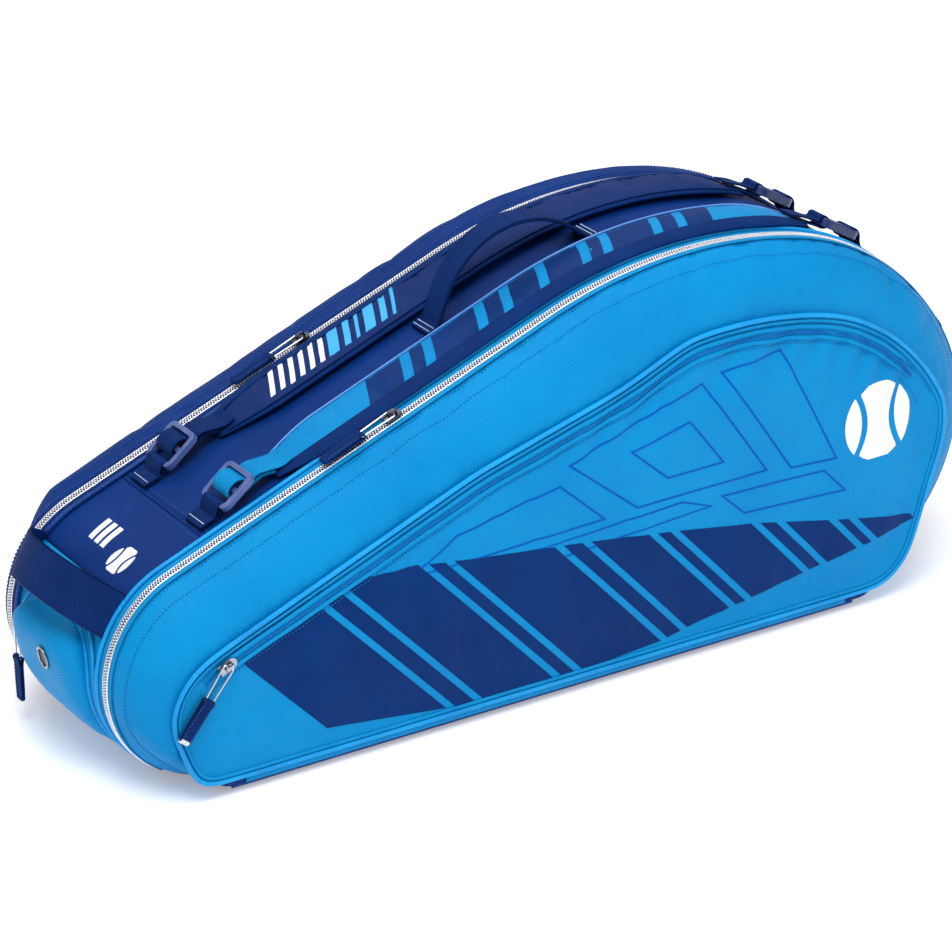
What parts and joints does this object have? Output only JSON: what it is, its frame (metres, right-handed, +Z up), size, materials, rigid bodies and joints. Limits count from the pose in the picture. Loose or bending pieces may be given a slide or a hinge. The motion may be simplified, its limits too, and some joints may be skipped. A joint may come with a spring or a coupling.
{
  "type": "racket tournament bag",
  "caption": "Padded racket bag with zipped compartments on both sides, a piped front pocket, an end pocket, a carry handle and shoulder straps.",
  "frame": {"origin": "on the floor, at the middle of the base's width and about half way along the bag", "axes": "+X towards the wide head end, -Y out of the front cover, +Z up"},
  "size_m": [0.8032, 0.2561, 0.3493],
  "materials": {
    "cyan_fabric": "coated polyester weave",
    "navy_fabric": "coated polyester weave",
    "navy_webbing": "ribbed webbing",
    "cyan_webbing": "ribbed webbing",
    "cyan_piping": "corded piping",
    "navy_piping": "corded piping",
    "cyan_zip_tape": "woven zip tape",
    "navy_zip_tape": "woven zip tape",
    "zip_teeth": "bright zip teeth",
    "slider_metal": "dark nickel plate",
    "pull_wire": "polished wire",
    "buckle_plastic": "moulded acetal",
    "inner_lining": "plain lining cloth",
    "stiffener_board": "pressed board",
    "eyelet_metal": "rolled eyelet"
  },
  "bodies": {
    "bag": {"base_panel": "navy_fabric", "base_stiffener": "stiffener_board", "divider_panel": "inner_lining", "handle_end_gusset_panel": "navy_fabric", "top_gusset_panel": "navy_fabric", "head_end_gusset_panel": "navy_fabric", "front_zip_gusset_tape": "cyan_zip_tape", "front_zip_gusset_teeth": "zip_teeth", "rear_zip_gusset_tape": "navy_zip_tape", "rear_zip_gusset_teeth": "zip_teeth", "front_gusset_piping": "cyan_piping", "rear_gusset_piping": "navy_piping", "end_pocket_rim": "cyan_piping", "carry_handle_feet": "navy_webbing", "front_buckle_tab": "navy_webbing", "rear_buckle_tab": "navy_webbing", "front_hook_tab": "navy_webbing", "rear_hook_tab": "navy_webbing", "head_hang_loop": "navy_webbing", "front_strap_buckle": "buckle_plastic", "front_strap_webbing": "cyan_webbing", "rear_strap_buckle": "buckle_plastic", "rear_strap_webbing": "navy_webbing"},
    "front_cover": {"front_cover_shell": "cyan_fabric", "front_zip_cover_tape": "cyan_zip_tape", "front_zip_cover_teeth": "zip_teeth", "front_pocket_panel": "cyan_fabric", "front_pocket_piping": "cyan_piping", "front_pocket_zip": "cyan_zip_tape"},
    "rear_cover": {"rear_cover_shell": "navy_fabric", "rear_zip_cover_tape": "navy_zip_tape", "rear_zip_cover_teeth": "zip_teeth"},
    "front_slider": {"front_main_slider": "slider_metal"},
    "front_pull": {"front_main_pull_loop": "pull_wire", "front_main_pull_tab": "navy_webbing"},
    "rear_slider": {"rear_main_slider": "slider_metal"},
    "rear_pull": {"rear_main_pull_loop": "pull_wire", "rear_main_pull_tab": "navy_webbing"},
    "pocket_slider": {"pocket_slider": "slider_metal"},
    "pocket_pull": {"pocket_pull_loop": "pull_wire", "pocket_pull_tab": "navy_webbing"},
    "end_flap": {"end_pocket_flap": "cyan_fabric", "end_pocket_eyelet": "eyelet_metal"},
    "end_slider": {"end_pocket_slider": "slider_metal"},
    "end_pull": {"end_pocket_pull_loop": "pull_wire", "end_pocket_pull_tab": "navy_webbing"},
    "end_loop": {"end_grab_loop": "navy_webbing"},
    "carry_handle": {"carry_handle": "navy_webbing"},
    "front_strap": {"front_shoulder_strap": "cyan_fabric", "front_strap_binding": "navy_webbing", "front_strap_hook": "buckle_plastic"},
    "rear_strap": {"rear_shoulder_strap": "navy_fabric", "rear_strap_binding": "navy_webbing", "rear_strap_hook": "buckle_plastic"}
  },
  "joints": [
    {"name": "front_cover_fold", "type": "hinge", "parent": "bag", "child": "front_cover", "pos_m": [0, -0.123, 0.00965], "axis": [1, 0, 0], "range_deg": [0, 80]},
    {"name": "rear_cover_fold", "type": "hinge", "parent": "bag", "child": "rear_cover", "pos_m": [0, 0.123, 0.00965], "axis": [-1, 0, 0], "range_deg": [0, 80]},
    {"name": "front_slider_slide", "type": "slide", "parent": "bag", "child": "front_slider", "axis": [0.9278, 0, 0.373], "range_m": [-0.19, 0.11]},
    {"name": "front_pull_swing", "type": "hinge", "parent": "front_slider", "child": "front_pull", "pos_m": [-0.13516, -0.078, 0.24978], "axis": [0, 1, 0], "range_deg": [0, 140]},
    {"name": "rear_slider_slide", "type": "slide", "parent": "bag", "child": "rear_slider", "axis": [0.9278, 0, 0.373], "range_m": [-0.2, 0.1]},
    {"name": "rear_pull_swing", "type": "hinge", "parent": "rear_slider", "child": "rear_pull", "pos_m": [-0.1231, 0.078, 0.25463], "axis": [0, 1, 0], "range_deg": [0, 140]},
    {"name": "pocket_slider_slide", "type": "slide", "parent": "front_cover", "child": "pocket_slider", "axis": [0.91, 0, 0.4147], "range_m": [0, 0.06]},
    {"name": "pocket_pull_swing", "type": "hinge", "parent": "pocket_slider", "child": "pocket_pull", "pos_m": [-0.306, -0.1302, 0.109], "axis": [-0.7934, 0, 0.6088], "range_deg": [0, 120]},
    {"name": "end_flap_fold", "type": "hinge", "parent": "bag", "child": "end_flap", "pos_m": [-0.34415, 0, 0.01367], "axis": [0, -1, 0], "range_deg": [0, 55]},
    {"name": "end_slider_slide", "type": "hinge", "parent": "bag", "child": "end_slider", "pos_m": [-0.2935, 0.059, 0.086], "axis": [0, 1, 0], "range_deg": [-35, 12]},
    {"name": "end_pull_swing", "type": "hinge", "parent": "end_slider", "child": "end_pull", "pos_m": [-0.3847, 0.059, 0.086], "axis": [0, 1, 0], "range_deg": [0, 120]},
    {"name": "end_loop_lift", "type": "hinge", "parent": "bag", "child": "end_loop", "pos_m": [-0.35398, 0, 0.15281], "axis": [0, 1, 0], "range_deg": [0, 30]},
    {"name": "carry_handle_tip", "type": "hinge", "parent": "bag", "child": "carry_handle", "pos_m": [0.01357, 0, 0.30862], "axis": [0.9527, 0, 0.304], "range_deg": [-25, 25]},
    {"name": "front_strap_lift", "type": "hinge", "parent": "bag", "child": "front_strap", "pos_m": [0.31126, -0.0435, 0.29169], "axis": [0, 1, 0], "range_deg": [0, 8]},
    {"name": "rear_strap_lift", "type": "hinge", "parent": "bag", "child": "rear_strap", "pos_m": [0.31126, 0.0435, 0.29169], "axis": [0, 1, 0], "range_deg": [0, 8]}
  ]
}
